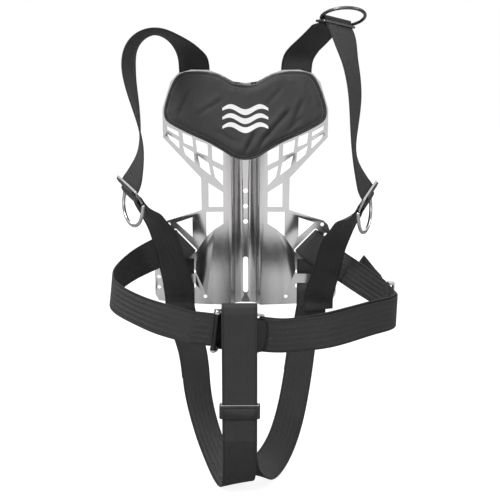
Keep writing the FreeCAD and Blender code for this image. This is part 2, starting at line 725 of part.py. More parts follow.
# --------------------------------------------------------------------- write
def parts():
    return {
        "back_plate": back_plate(),
        "back_pad": back_pad(),
        "pad_binding": pad_binding(),
        "shoulder_left_upper": shoulder_left_upper(),
        "shoulder_right_upper": shoulder_right_upper(),
        "shoulder_left_lower": shoulder_lower(-1, GLIDE_LEFT, SHOULDER_LEFT_LOWER, 0),
        "shoulder_right_lower": shoulder_lower(1, GLIDE_RIGHT, SHOULDER_RIGHT_LOWER, 12),
        "chest_glide_left": GLIDE_LEFT.place(glide()),
        "chest_glide_right": GLIDE_RIGHT.place(glide()),
        "shoulder_glide_top": GLIDE_TOP.place(glide()),
        "chest_ring_left": chest_ring_spot(GLIDE_LEFT).place(ring()),
        "chest_ring_right": chest_ring_spot(GLIDE_RIGHT).place(ring()),
        "shoulder_ring_top": top_ring_spot().place(round_ring()),
        "belt_left": belt_left(),
        "belt_right": belt_right(),
        "crotch_left": crotch_left(),
        "crotch_right": crotch_right(),
        "buckle_base": buckle_base(),
        "buckle_pin": buckle_pin(),
        "buckle_lever": buckle_lever(),
        "crotch_slider": crotch_slider(),
        "slider_cover": slider_cover(),
        "hip_keeper": hip_keeper(),
    }


os.makedirs("parts", exist_ok=True)
to_origin = Vec(0, -CHANNEL_DEEP - PLATE_T / 2, 0)
for name, shape in parts().items():
    shape.translate(to_origin)
    shape.exportStep("parts/" + name + ".step")
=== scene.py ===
"""Looks of the diver's back plate and webbing harness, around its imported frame. Metres."""
from bisect import bisect_right
import math

import bmesh
import bpy
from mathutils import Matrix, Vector, noise
from mathutils.bvhtree import BVHTree


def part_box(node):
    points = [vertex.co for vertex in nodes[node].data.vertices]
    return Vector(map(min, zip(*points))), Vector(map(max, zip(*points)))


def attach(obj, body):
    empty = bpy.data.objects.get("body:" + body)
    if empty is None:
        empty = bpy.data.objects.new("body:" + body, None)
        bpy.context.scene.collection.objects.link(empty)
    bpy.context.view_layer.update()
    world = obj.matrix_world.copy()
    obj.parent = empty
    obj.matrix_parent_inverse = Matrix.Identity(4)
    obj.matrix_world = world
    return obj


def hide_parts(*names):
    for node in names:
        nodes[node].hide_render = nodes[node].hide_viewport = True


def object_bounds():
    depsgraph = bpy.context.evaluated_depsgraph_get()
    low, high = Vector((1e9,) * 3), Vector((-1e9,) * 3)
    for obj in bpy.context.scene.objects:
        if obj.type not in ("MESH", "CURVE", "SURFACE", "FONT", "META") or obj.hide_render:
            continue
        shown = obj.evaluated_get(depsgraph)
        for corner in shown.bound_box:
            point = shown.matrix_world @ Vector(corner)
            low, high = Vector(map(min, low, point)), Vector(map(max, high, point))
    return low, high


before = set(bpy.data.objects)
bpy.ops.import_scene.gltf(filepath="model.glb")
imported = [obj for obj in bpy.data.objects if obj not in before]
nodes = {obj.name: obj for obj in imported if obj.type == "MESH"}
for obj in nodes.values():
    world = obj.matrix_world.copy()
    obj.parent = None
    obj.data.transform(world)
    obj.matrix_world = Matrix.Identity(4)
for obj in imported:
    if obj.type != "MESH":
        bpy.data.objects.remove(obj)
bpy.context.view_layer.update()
scene = bpy.context.scene
PAD_LOW, PAD_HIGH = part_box("back_pad")

MM = 0.001
WEB_WIDTH = 50 * MM
WEB_THICK = 2.2 * MM
RIB_PITCH = 0.0024
YARN_PITCH = 0.0013
CORDURA_PITCH = 0.0011
PATCH_CORNER = math.radians(6)      # a sharper turn in a CAD face's rim is a corner
STRAY_TURN = math.radians(25)       # a section turned further than this is out of line
STRAP_FOLD = math.radians(16)       # a sharper bend is a fold round a fitting, and stays
SOFT_PASSES, KINK_PASSES, TWIST_PASSES = 60, 20, 12
SEAM_INSET = 6.6 * MM               # from the pad's edge to its seam
TAPE_INSET = 2.4 * MM
PAD_CELL = 4.0 * MM
PAD_SWELL = 4.0 * MM
PAD_FRONT = 5.5 * MM                # depth of the pad's cover that creases


# ------------------------------------------------------------------- camera
def make_camera():
    """Looks 12 degrees down at the front, from about 1.5 m."""
    data = bpy.data.cameras.new("camera")
    data.lens = 63.53
    data.sensor_width = 36.0
    data.clip_start = 0.05
    data.clip_end = 50.0
    cam = bpy.data.objects.new("camera", data)
    cam.location = (0.0076, -1.4907, 0.2399)
    cam.rotation_euler = (math.radians(78.0), 0.0, 0.0)
    scene.collection.objects.link(cam)
    scene.camera = cam


# ---------------------------------------------------------------- materials
def fill_ramp(ramp, stops):
    """Sets a colour ramp from (place, colour) pairs."""
    while len(ramp.elements) < len(stops):
        ramp.elements.new(0.5)
    for element, (at, colour) in zip(ramp.elements, stops):
        element.position = at
        element.color = (*colour, 1.0)


class Nodes:
    """A short way to write a material's node tree."""

    def __init__(self, name, **values):
        self.material = bpy.data.materials.new(name)
        self.material.use_nodes = True
        self.tree = self.material.node_tree
        self.shader = self.tree.nodes["Principled BSDF"]
        for socket, value in values.items():
            self.shader.inputs[socket.replace("_", " ")].default_value = value

    def add(self, kind, inputs=(), **settings):
        node = self.tree.nodes.new("ShaderNode" + kind)
        for key, value in settings.items():
            setattr(node, key, value)
        for socket, value in dict(inputs).items():
            if isinstance(value, bpy.types.NodeSocket):
                self.tree.links.new(value, node.inputs[socket])
            else:
                node.inputs[socket].default_value = value
        return node

    def maths(self, operation, *values):
        return self.add("Math", dict(enumerate(values)), operation=operation).outputs[0]

    def noise(self, where, scale, detail=3.0, rough=0.6):
        inputs = {"Vector": where, "Scale": scale, "Detail": detail, "Roughness": rough}
        return self.add("TexNoise", inputs).outputs["Fac"]

    def ramp(self, value, stops):
        node = self.add("ValToRGB", {"Fac": value})
        fill_ramp(node.color_ramp, stops)
        return node.outputs["Color"]

    def bump(self, height, strength, distance):
        inputs = {"Height": height, "Strength": strength, "Distance": distance}
        return self.add("Bump", inputs).outputs["Normal"]

    def set(self, socket, output):
        self.tree.links.new(output, self.shader.inputs[socket])


def object_place(m):
    return m.add("TexCoord").outputs["Object"]


def wave(m, value, pitch):
    """A sine of a length, once every pitch."""
    return m.maths("SINE", m.maths("MULTIPLY", value, 2 * math.pi / pitch))


def scaled_sum(m, first, part, second, other):
    return m.maths("ADD", m.maths("MULTIPLY", first, part), m.maths("MULTIPLY", second, other))


def blended(m, base, over, kind):
    """Two colours, multiplied or added."""
    inputs = {"Factor": 1.0, 6: base, 7: over}
    return m.add("Mix", inputs, data_type="RGBA", blend_type=kind).outputs[2]


def rough_by(m, value, spread, least):
    m.set("Roughness", m.maths("ADD", m.maths("MULTIPLY", value, spread), least))


def grey(level):
    return (level, level, level)


def webbing_material():
    """Heavy ribbed webbing: a rib every 2.4 mm along it and yarns across it."""
    m = Nodes("webbing", Specular_IOR_Level=0.35, Sheen_Weight=0.06, Sheen_Roughness=0.5)
    uv = m.add("UVMap", uv_map="along").outputs["UV"]
    split = m.add("SeparateXYZ", {"Vector": uv})
    along, across = split.outputs[0], split.outputs[1]
    slant = m.maths("PINGPONG", across, 0.0042)
    rib = wave(m, m.maths("ADD", along, slant), RIB_PITCH)
    yarn = wave(m, across, YARN_PITCH)
    weave = m.maths("ADD", rib, m.maths("MULTIPLY", yarn, 0.45))
    place = object_place(m)
    fine = m.noise(place, 900.0, 2.0)
    height = m.maths("ADD", weave, m.maths("MULTIPLY", fine, 1.4))
    m.set("Normal", m.bump(height, 0.7, 0.0004))
    broad = m.noise(place, 14.0, 4.0)
    # Painted shade: the colour is darker in the grooves between the weave's ribs and lighter on the
    # ribs; the fine speckle is random tone.
    worn = scaled_sum(m, weave, 0.17, fine, 0.45)
    shade = m.maths("ADD", m.maths("MULTIPLY", broad, 0.5), worn)
    base = m.ramp(shade, [(0.12, (0.014, 0.0128, 0.0137)), (0.5, (0.028, 0.0258, 0.0276)),
                          (0.85, (0.050, 0.0465, 0.0495))])
    out = m.maths("DIVIDE", m.maths("ABSOLUTE", across), WEB_WIDTH / 2)
    edge = m.ramp(out, [(0.0, grey(1)), (0.845, grey(1)), (0.885, grey(0.50)),
                        (0.93, grey(0.62)), (0.955, grey(0.9)), (1.0, grey(0.45))])
    m.set("Base Color", blended(m, base, edge, "MULTIPLY"))
    rough_by(m, fine, 0.25, 0.42)
    return m.material


def thread_material():
    """Twisted sewing thread, a little paler than the webbing."""
    m = Nodes("thread", Specular_IOR_Level=0.4, Sheen_Weight=0.2)
    place = object_place(m)
    twist = m.noise(place, 1500.0, 1.0)
    colours = [(0.3, (0.07, 0.068, 0.07)), (0.7, (0.15, 0.147, 0.15))]
    m.set("Base Color", m.ramp(twist, colours))
    rough_by(m, twist, 0.2, 0.45)
    m.set("Normal", m.bump(twist, 0.4, 0.0002))
    return m.material


def pad_material():
    """Dense black cordura with a plain weave."""
    m = Nodes("pad_fabric", Specular_IOR_Level=0.35, Sheen_Weight=0.15, Sheen_Roughness=0.45)
    place = object_place(m)
    split = m.add("SeparateXYZ", {"Vector": place})
    warp = wave(m, split.outputs[0], CORDURA_PITCH)
    weft = wave(m, split.outputs[2], CORDURA_PITCH)
    weave = m.maths("MULTIPLY", warp, weft)
    fine = m.noise(place, 700.0, 2.0)
    m.set("Normal", m.bump(m.maths("ADD", weave, fine), 0.35, 0.00022))
    broad = m.noise(place, 22.0, 4.0)
    shade = scaled_sum(m, broad, 0.6, fine, 0.4)
    colours = [(0.25, (0.026, 0.0252, 0.026)), (0.55, (0.038, 0.0365, 0.038)),
               (0.8, (0.055, 0.053, 0.055))]
    m.set("Base Color", m.ramp(shade, colours))
    rough_by(m, fine, 0.2, 0.5)
    return m.material


def binding_material():
    """Smooth black tape."""
    m = Nodes("binding", Specular_IOR_Level=0.5, Sheen_Weight=0.1)
    place = object_place(m)
    fine = m.noise(place, 1100.0, 2.0)
    colours = [(0.3, (0.014, 0.014, 0.015)), (0.7, (0.032, 0.031, 0.032))]
    m.set("Base Color", m.ramp(fine, colours))
    rough_by(m, fine, 0.25, 0.38)
    m.set("Normal", m.bump(fine, 0.3, 0.0002))
    return m.material


def print_material():
    """White ink on the pad's cover."""
    m = Nodes("print", Specular_IOR_Level=0.4)
    place = object_place(m)
    fine = m.noise(place, 800.0, 2.0)
    m.set("Base Color", m.ramp(fine, [(0.3, grey(0.70)), (0.7, grey(0.86))]))
    rough_by(m, fine, 0.2, 0.45)
    m.set("Normal", m.bump(fine, 0.25, 0.0002))
    return m.material


def steel_material(name, colour, rough, grain=0.06, brush=(1.0, 1.0, 1.0), cut=0.0):
    """Bead-blasted or polished stainless steel, with smears and fine scratches.

    grain is the strength of its bumps, brush stretches the scratches, and cut is how dark
    the painted shade on the sheet's cut edges and other sideways faces is.
    """
    m = Nodes(name, Metallic=1.0)
    place = object_place(m)
    stretched = m.add("Mapping", {"Vector": place, "Scale": brush}).outputs["Vector"]
    lines = m.noise(stretched, 60.0, 5.0, 0.7)
    speck = m.noise(place, 1200.0, 2.0)
    smear = m.noise(place, 16.0, 4.0)
    mixed = scaled_sum(m, lines, 0.5, smear, 0.5)
    dark = tuple(c * 0.86 for c in colour)
    base = m.ramp(mixed, [(0.3, dark), (0.65, colour)])
    if cut:
        # Painted shade: faces turned away from the front and back, such as the sheet's cut edges,
        # are darkened.
        facing = m.add("TexCoord").outputs["Normal"]
        turned = m.maths("ABSOLUTE", m.add("SeparateXYZ", {"Vector": facing}).outputs[1])
        edge = m.ramp(turned, [(0.12, grey(cut)), (0.4, grey(1))])
        base = blended(m, base, edge, "MULTIPLY")
    m.set("Base Color", base)
    rough_by(m, mixed, 0.22, rough)
    m.set("Normal", m.bump(scaled_sum(m, speck, 0.7, lines, 0.6), grain, 0.00025))
    return m.material


def black_metal_material():
    """Black coated metal, with a painted highlight on the faces that point up."""
    m = Nodes("black_metal", Specular_IOR_Level=0.6)
    place = object_place(m)
    fine = m.noise(place, 1000.0, 2.0)
    worn = m.noise(place, 60.0, 5.0, 0.7)
    base = m.ramp(worn, [(0.4, (0.008, 0.008, 0.009)), (0.8, (0.03, 0.03, 0.032))])
    facing = m.add("TexCoord").outputs["Normal"]
    upward = m.add("SeparateXYZ", {"Vector": facing}).outputs[2]
    # Painted highlight: the faces that point up are made much lighter.
    painted_top_highlight = m.ramp(upward, [(0.9, grey(0)), (0.97, (0.55, 0.55, 0.56))])
    m.set("Base Color", blended(m, base, painted_top_highlight, "ADD"))
    rough_by(m, worn, 0.3, 0.22)
    m.set("Normal", m.bump(fine, 0.15, 0.0002))
    return m.material


# ------------------------------------------------------------------ meshes
def new_piece(name, mesh, material, body, slot, *replaced):
    """A visible piece on its body, in the place of the CAD nodes it replaces."""
    mesh.materials.clear()
    mesh.materials.append(material)
    piece = bpy.data.objects.new(name, mesh)
    scene.collection.objects.link(piece)
    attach(piece, body)
    if replaced:
        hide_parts(*replaced)
    return piece


def mesh_from(name, points, faces):
    """A smooth mesh."""
    mesh = bpy.data.meshes.new(name)
    mesh.from_pydata([tuple(p) for p in points], [], faces)
    mesh.shade_smooth()
    mesh.validate()
    return mesh


def face_outwards(mesh):
    bm = bmesh.new()
    bm.from_mesh(mesh)
    bmesh.ops.recalc_face_normals(bm, faces=bm.faces)
    bm.to_mesh(mesh)
    bm.free()


def ray_shape(mesh):
    """A mesh ready for ray casts."""
    return BVHTree.FromPolygons([v.co for v in mesh.vertices],
                                [tuple(f.vertices) for f in mesh.polygons])


def smooth_by_angle(mesh, degrees):
    mesh.shade_smooth()
    mesh.set_sharp_from_angle(angle=math.radians(degrees))


def metal(name, body, slot, material, angle=32.0):
    """A CAD fitting's own shape, with its round faces shaded smooth."""
    bm = bmesh.new()
    bm.from_mesh(nodes[name].data)
    bmesh.ops.remove_doubles(bm, verts=bm.verts, dist=4e-6)
    bmesh.ops.dissolve_degenerate(bm, edges=bm.edges, dist=2e-6)
    mesh = bpy.data.meshes.new(name + "_finish")
    bm.to_mesh(mesh)
    bm.free()
    smooth_by_angle(mesh, angle)
    return new_piece(name + "_finish", mesh, material, body, slot, name)


# ------------------------------------------------------------------- straps
def spot_key(p):
    """One key for points that lie within a few microns of one another."""
    return (round(p.x * 2e5), round(p.y * 2e5), round(p.z * 2e5))


def flat_patches(mesh):
    """Each flat or ruled CAD face as the list of its corners."""
    bm = bmesh.new()
    bm.from_mesh(mesh)
    seen = set()
    out = []
    for first in bm.faces:
        if first in seen:
            continue
        seen.add(first)
        stack = [first]
        places = {}
        times = {}
        while stack:
            face = stack.pop()
            for edge in face.edges:
                a, b = (spot_key(v.co) for v in edge.verts)
                places[a], places[b] = (v.co.copy() for v in edge.verts)
                if a != b:
                    pair = frozenset((a, b))
                    times[pair] = times.get(pair, 0) + 1
                for other in edge.link_faces:
                    if other not in seen:
                        seen.add(other)
                        stack.append(other)
        out.append(patch_corners(places, [p for p, n in times.items() if n == 1]))
    bm.free()
    return [corners for corners in out if len(corners) == 4]


def patch_corners(places, rim):
    """Keys of the points where a patch's rim turns."""
    beside = {}
    for pair in rim:
        a, b = pair
        beside.setdefault(a, []).append(b)
        beside.setdefault(b, []).append(a)
    if not beside or any(len(n) != 2 for n in beside.values()):
        return []
    loop = [next(iter(beside))]
    before = None
    while True:
        ahead = [k for k in beside[loop[-1]] if k != before]
        if ahead[0] == loop[0] or len(loop) > len(beside):
            break
        before = loop[-1]
        loop.append(ahead[0])
    points = [places[k] for k in loop]
    out = []
    for i, p in enumerate(points):
        turn = (p - points[i - 1]).angle(points[(i + 1) % len(points)] - p)
        if turn > PATCH_CORNER:
            out.append((loop[i], p))
    return out


def sections(node):
    """(centre, width direction, normal) of each cross section of a CAD strap."""
    place = {}
    beside = {}
    caps = []
    patches = flat_patches(nodes[node].data)
    for corners in patches:
        for (a, pa), (b, _) in zip(corners, corners[1:] + corners[:1]):
            place[a] = pa
            beside.setdefault(a, set()).add(b)
            beside.setdefault(b, set()).add(a)
    for corners in patches:
        if all(len(beside[k]) == 3 for k, _ in corners):
            caps.append([k for k, _ in corners])
    ring = caps[0]
    if (place[ring[0]] - place[ring[1]]).length < (place[ring[1]] - place[ring[2]]).length:
        ring = ring[1:] + ring[:1]
    out = []
    seen = set()
    while True:
        a, b, c, d = (place[k] for k in ring)
        centre = (a + b + c + d) / 4
        side = ((a - b) + (d - c)).normalized()
        normal = ((a - d) + (b - c)).normalized()
        out.append((centre, side, normal))
        seen.update(ring)
        ahead = [[k for k in beside[r] if k not in seen] for r in ring]
        if any(len(k) != 1 for k in ahead):
            return out
        ring = [k[0] for k in ahead]


def refined(marks, step=4 * MM):
    """The same straight runs, cut into short ones."""
    out = [marks[0]]
    for a, b in zip(marks, marks[1:]):
        parts = max(math.ceil((b[0] - a[0]).length / step), 1)
        for k in range(1, parts + 1):
            out.append(tuple(p.lerp(q, k / parts) for p, q in zip(a, b)))
    return out


def eased(marks, soft=()):
    """Softens small kinks, and every kink in the soft stretches, but keeps folds round fittings."""
    last = len(marks) - 1
    points = [m[0].copy() for m in marks]
    sides = [m[1].copy() for m in marks]
    runs = [0.0]
    for a, b in zip(points, points[1:]):
        runs.append(runs[-1] + (b - a).length)
    draped = [any(low <= r <= high + (runs[-1] if high < 0 else 0) for low, high in soft)
              for r in runs]
    free = [False] * (last + 1)
    for i in range(2, last - 1):
        turn = (points[i] - points[i - 1]).angle(points[i + 1] - points[i])
        free[i] = draped[i] or turn < STRAP_FOLD
    loose = [draped[i] or all(free[max(i - 2, 0):i + 3]) for i in range(last + 1)]
    for number in range(SOFT_PASSES):
        fresh = list(points)
        turned = list(sides)
        for i in range(1, last):
            if draped[i] or (loose[i] and number < KINK_PASSES):
                fresh[i] = points[i].lerp((points[i - 1] + points[i + 1]) / 2, 0.5)
            if draped[i] or number < TWIST_PASSES:
                turned[i] = (sides[i] * 2 + sides[i - 1] + sides[i + 1]).normalized()
        points, sides = fresh, turned
    out = []
    for i, mark in enumerate(marks):
        along = (points[min(i + 1, last)] - points[max(i - 1, 0)]).normalized()
        side = (sides[i] - along * sides[i].dot(along)).normalized()
        normal = along.cross(side)
        if normal.dot(mark[2]) < 0:
            normal = -normal
        out.append((points[i], side, normal))
    return out


def stray(marks, i, side):
    """Whether a section is turned out of line with the ones on both sides of it."""
    back_in_line = any(m[1].angle(side) < STRAY_TURN for m in marks[i + 1:i + 3])
    return marks[i][1].angle(side) > STRAY_TURN and back_in_line


class Path:
    """A strap's smooth centre line through its CAD sections."""

    def __init__(self, marks, soft=()):
        keep = [marks[0]]
        for i, mark in enumerate(marks[1:], 1):
            apart = (mark[0] - keep[-1][0]).length > 0.2 * MM
            if apart and not stray(marks, i, keep[-1][1]):
                keep.append(mark)
        keep = eased(refined(keep), soft)
        self.marks = keep
        self.runs = [0.0]
        for a, b in zip(keep, keep[1:]):
            self.runs.append(self.runs[-1] + (b[0] - a[0]).length)
        self.length = self.runs[-1]
        self.slopes = [self.slope(i) for i in range(len(keep))]

    def slope(self, i):
        """Direction of the centre line at a mark, weighted by the runs on both sides."""
        m, r = self.marks, self.runs
        if i == 0:
            return (m[1][0] - m[0][0]) / (r[1] - r[0])
        if i == len(m) - 1:
            return (m[i][0] - m[i - 1][0]) / (r[i] - r[i - 1])
        h0, h1 = r[i] - r[i - 1], r[i + 1] - r[i]
        back = (m[i][0] - m[i - 1][0]) / h0
        ahead = (m[i + 1][0] - m[i][0]) / h1
        return (back * h1 + ahead * h0) / (h0 + h1)

    def at(self, run):
        """(centre, side, normal) at a length along the strap."""
        run = min(max(run, 0.0), self.length)
        i = min(bisect_right(self.runs, run) - 1, len(self.runs) - 2)
        h = self.runs[i + 1] - self.runs[i]
        f = (run - self.runs[i]) / h
        a, b = self.marks[i], self.marks[i + 1]
        centre = (a[0] * (2 * f**3 - 3 * f * f + 1) + self.slopes[i] * (h * (f**3 - 2 * f * f + f))
                  + b[0] * (3 * f * f - 2 * f**3) + self.slopes[i + 1] * (h * (f**3 - f * f)))
        side = a[1].lerp(b[1], f).normalized()
        normal = a[2].lerp(b[2], f)
        normal = (normal - side * normal.dot(side)).normalized()
        return centre, side, normal

    def nearest(self, point):
        """Length along the strap at which it passes closest to a point."""
        best = min(range(len(self.marks)), key=lambda i: (self.marks[i][0] - point).length)
        return self.runs[best]

    def surface(self, run, u, face, lift=0.0):
        """A point on one face of the webbing, and its outward and lengthwise directions."""
        centre, side, normal = self.at(run)
        ahead = (self.at(run + 0.5 * MM)[0] - self.at(run - 0.5 * MM)[0]).normalized()
        place = centre + side * u + normal * (face * (WEB_THICK / 2 + lift))
        return place, normal * face, side, ahead


def web_profile(width, thick):
    """Half of the webbing's cross section, from one edge to the other, as (u, w).

    The edges are rounded, and a shallow groove sets each selvedge apart.
    """
    w = width / 2
    t = thick / 2
    edge = [(w, 0.0), (w - 0.12 * MM, 0.5 * t), (w - 0.5 * MM, 0.86 * t), (w - 1.2 * MM, t),
            (w - 2.6 * MM, t), (w - 3.2 * MM, 0.86 * t), (w - 3.8 * MM, 0.98 * t)]
    half = edge + [(w * f, t) for f in (0.6, 0.3, 0.0)]
    return half + [(-u, z) for u, z in reversed(half[:-1])]


def ribbon(name, node, material, body="harness", width=WEB_WIDTH, thick=WEB_THICK,
           ripple=0.15 * MM, soft=()):
    """Webbing along a CAD strap's sections, with a faint ripple that fades towards its ends."""
    path = Path(sections(node), soft)
    count = max(int(path.length / (3.0 * MM)), 8)
    runs = sorted(set([path.length * i / count for i in range(count + 1)] + path.runs))
    kept = [runs[0]]
    for run in runs[1:]:
        if run - kept[-1] > 0.45 * MM:
            kept.append(run)
    top = web_profile(width, thick)
    ring = top + [(u, -z) for u, z in reversed(top[1:-1])]
    points = []
    spans = []
    for run in kept:
        centre, side, normal = path.at(run)
        ends = min(run, path.length - run)
        sway = ripple * min(ends / (30 * MM), 1.0)
        for u, w in ring:
            lift = sway * noise.noise(centre * 28.0 + side * (u * 20.0))
            points.append(centre + side * u + normal * (w + lift))
            spans.append((run, u))
    n = len(ring)
    faces = []
    for i in range(len(kept) - 1):
        for j in range(n):
            k = (j + 1) % n
            faces.append((i * n + j, i * n + k, (i + 1) * n + k, (i + 1) * n + j))
    faces.append(tuple(reversed(range(n))))
    faces.append(tuple(range((len(kept) - 1) * n, len(kept) * n)))
    mesh = mesh_from(name, points, faces)
    uv = mesh.uv_layers.new(name="along")
    for loop in mesh.loops:
        uv.data[loop.index].uv = spans[loop.vertex_index]
    face_outwards(mesh)
    smooth_by_angle(mesh, 60)
    new_piece(name, mesh, material, body, "webbing", node)
    return path


# ----------------------------------------------------------------- stitching
def thread_mesh(marks, name, material, slot="webbing"):
    """One small rounded thread at each (point, outward, along)."""
    long = 2.8 * MM
    thick = 0.42 * MM
    points = []
    faces = []
    rings = ((-0.5, 0.35), (-0.36, 0.9), (0.0, 1.0), (0.36, 0.9), (0.5, 0.35))
    for place, outward, along in marks:
        along = along.normalized()
        across = along.cross(outward).normalized()
        lift = across.cross(along).normalized()
        if lift.dot(outward) < 0:
            lift = -lift
        first = len(points)
        for at, size in rings:
            for k in range(6):
                turn = math.radians(60 * k)
                offset = across * math.cos(turn) + lift * math.sin(turn)
                points.append(place + along * (at * long) + offset * (thick * size))
        for i in range(len(rings) - 1):
            for k in range(6):
                a = first + i * 6 + k
                b = first + i * 6 + (k + 1) % 6
                faces.append((a, b, b + 6, a + 6))
        faces.append(tuple(first + k for k in reversed(range(6))))
        faces.append(tuple(first + (len(rings) - 1) * 6 + k for k in range(6)))
    mesh = mesh_from(name, points, faces)
    face_outwards(mesh)
    return new_piece(name, mesh, material, "harness", slot)


def sewn(path, lines, pitch=4.0 * MM):
    """Thread marks on both faces of a strap, along lines given as ((run, u), (run, u))."""
    out = []
    for (run_a, u_a), (run_b, u_b) in lines:
        long = math.hypot(run_b - run_a, u_b - u_a)
        count = max(int(long / pitch), 1)
        for k in range(count):
            f = (k + 0.5) / count
            run, u = run_a + (run_b - run_a) * f, u_a + (u_b - u_a) * f
            for face in (1, -1):
                place, outward, side, ahead = path.surface(run, u, face, 0.12 * MM)
                along = ahead * (run_b - run_a) + side * (u_b - u_a)
                out.append((place, outward, along))
    return out


def sewn_box(start, end, half=21 * MM, cross=True):
    """A sewn rectangle between two lengths along a strap, with its diagonals."""
    lines = [((start, -half), (start, half)), ((end, -half), (end, half)),
             ((start, -half), (end, -half)), ((start, half), (end, half))]
    if cross:
        lines += [((start, -half), (end, half)), ((start, half), (end, -half))]
    return lines


# ----------------------------------------------------------------------- pad
def pad_outline(inset, count=220):
    """Points round the pad's edge, from the CAD binding, moved in by inset."""
    shape = ray_shape(nodes["pad_binding"].data)
    low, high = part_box("pad_binding")
    centre = Vector((0.0, (low.y + high.y) / 2, low.z + (high.z - low.z) * 0.545))
    out = []
    for k in range(count):
        turn = 2 * math.pi * k / count
        ray = Vector((math.cos(turn), 0, math.sin(turn)))
        hit = shape.ray_cast(centre + ray * 0.4, -ray)[0]
        out.append(hit)
    for _ in range(2):
        out = [(out[i - 1] + out[i] * 2 + out[(i + 1) % count]) / 4 for i in range(count)]
    even = even_loop(out, count)
    moved = []
    for i, p in enumerate(even):
        along = (even[(i + 1) % count] - even[i - 1]).normalized()
        inward = Vector((-along.z, 0, along.x))
        if inward.dot(centre - p) < 0:
            inward = -inward
        moved.append(p + inward * inset)
    return moved


def even_loop(points, count):
    """The same closed line with evenly spaced points."""
    closed = points + points[:1]
    runs = [0.0]
    for a, b in zip(closed, closed[1:]):
        runs.append(runs[-1] + (b - a).length)
    out = []
    j = 0
    for k in range(count):
        at = runs[-1] * k / count
        while runs[j + 1] < at:
            j += 1
        f = (at - runs[j]) / (runs[j + 1] - runs[j])
        out.append(closed[j].lerp(closed[j + 1], f))
    return out


def apply_modifiers(piece):
    """Turns what the modifiers show into the piece's own mesh."""
    graph = bpy.context.evaluated_depsgraph_get()
    done = bpy.data.meshes.new_from_object(piece.evaluated_get(graph))
    piece.modifiers.clear()
    old = piece.data
    piece.data = done
    bpy.data.meshes.remove(old)


def pad_start():
    """The pad before it swells: the CAD pad, thinner and a little wider, in even facets."""
    bm = bmesh.new()
    bm.from_mesh(nodes["back_pad"].data)
    bmesh.ops.remove_doubles(bm, verts=bm.verts, dist=4e-6)
    middle = (PAD_LOW + PAD_HIGH) / 2
    for v in bm.verts:
        v.co.y = middle.y + (v.co.y - middle.y) * 0.72
    mesh = bpy.data.meshes.new("pad_cloth")
    bm.to_mesh(mesh)
    bm.free()
    pad = bpy.data.objects.new("pad_cushion", mesh)
    scene.collection.objects.link(pad)
    remesh = pad.modifiers.new("remesh", "REMESH")
    remesh.mode = "VOXEL"
    remesh.voxel_size = PAD_CELL
    apply_modifiers(pad)
    rim = 2.2 * MM
    grown = [v.co + Vector((v.normal.x, 0, v.normal.z)) * rim for v in pad.data.vertices]
    for v, place in zip(pad.data.vertices, grown):
        v.co = place
    return pad


def swell(pad, cap):
    """Blows the pad up as cloth, and keeps each point within cap of its start."""
    frames = 20
    side_cap = 0.8 * MM
    start = [v.co.copy() for v in pad.data.vertices]
    cloth = pad.modifiers.new("cloth", "CLOTH")
    cloth.settings.use_pressure = True
    cloth.settings.uniform_pressure_force = 4.0
    cloth.settings.effector_weights.gravity = 0.0
    cloth.settings.quality = 6
    cloth.point_cache.frame_start = 1
    cloth.point_cache.frame_end = frames
    for number in range(1, frames + 1):
        scene.frame_set(number)
    apply_modifiers(pad)
    scene.frame_set(1)
    for vertex, before in zip(pad.data.vertices, start):
        moved = vertex.co - before
        depth = min(max(moved.y, -cap), cap)
        flat = Vector((moved.x, 0, moved.z))
        if flat.length > side_cap:
            flat = flat.normalized() * side_cap
        vertex.co = before + flat + Vector((0, depth, 0))


def near_line(point, line):
    """Distance, seen from the front, to the nearest of a line's points."""
    return min((point.x - q.x) ** 2 + (point.z - q.z) ** 2 for q in line) ** 0.5


# Folds in the pad's cover: both ends, as parts of its width from the middle and of its
# height from the bottom, and the depth.
CREASES = (
    ((0.36, 0.66), (0.31, 0.44), 2.4 * MM), ((0.28, 0.56), (0.13, 0.24), 3.2 * MM),
    ((0.06, 0.28), (0.01, 0.09), 2.8 * MM), ((0.14, 0.27), (0.09, 0.12), 2.6 * MM),
    ((0.34, 0.45), (0.28, 0.34), 1.8 * MM), ((-0.35, 0.78), (-0.41, 0.54), 1.6 * MM),
    ((-0.15, 0.68), (-0.28, 0.53), 1.3 * MM), ((0.39, 0.88), (0.42, 0.67), 1.6 * MM),
    ((-0.07, 0.19), (-0.17, 0.31), 1.4 * MM), ((0.22, 0.80), (0.15, 0.66), 1.0 * MM),
)


def fold(x, z, width, height, start, end, depth):
    """How far one crease pushes the cover in, with a soft ridge beside it."""
    ax, az = start[0] * width, start[1] * height
    dx, dz = end[0] * width - ax, end[1] * height - az
    long = math.hypot(dx, dz)
    px, pz = x * width - ax, z * height - az
    along = (px * dx + pz * dz) / long**2
    across = (px * dz - pz * dx) / long
    ends = math.exp(-((max(abs(along - 0.5) - 0.35, 0.0) * long / (9 * MM)) ** 2))
    valley = math.exp(-((across / (3.4 * MM)) ** 2))
    ridge = math.exp(-(((across - 8 * MM) / (5 * MM)) ** 2))
    return depth * ends * (valley - 0.6 * ridge)


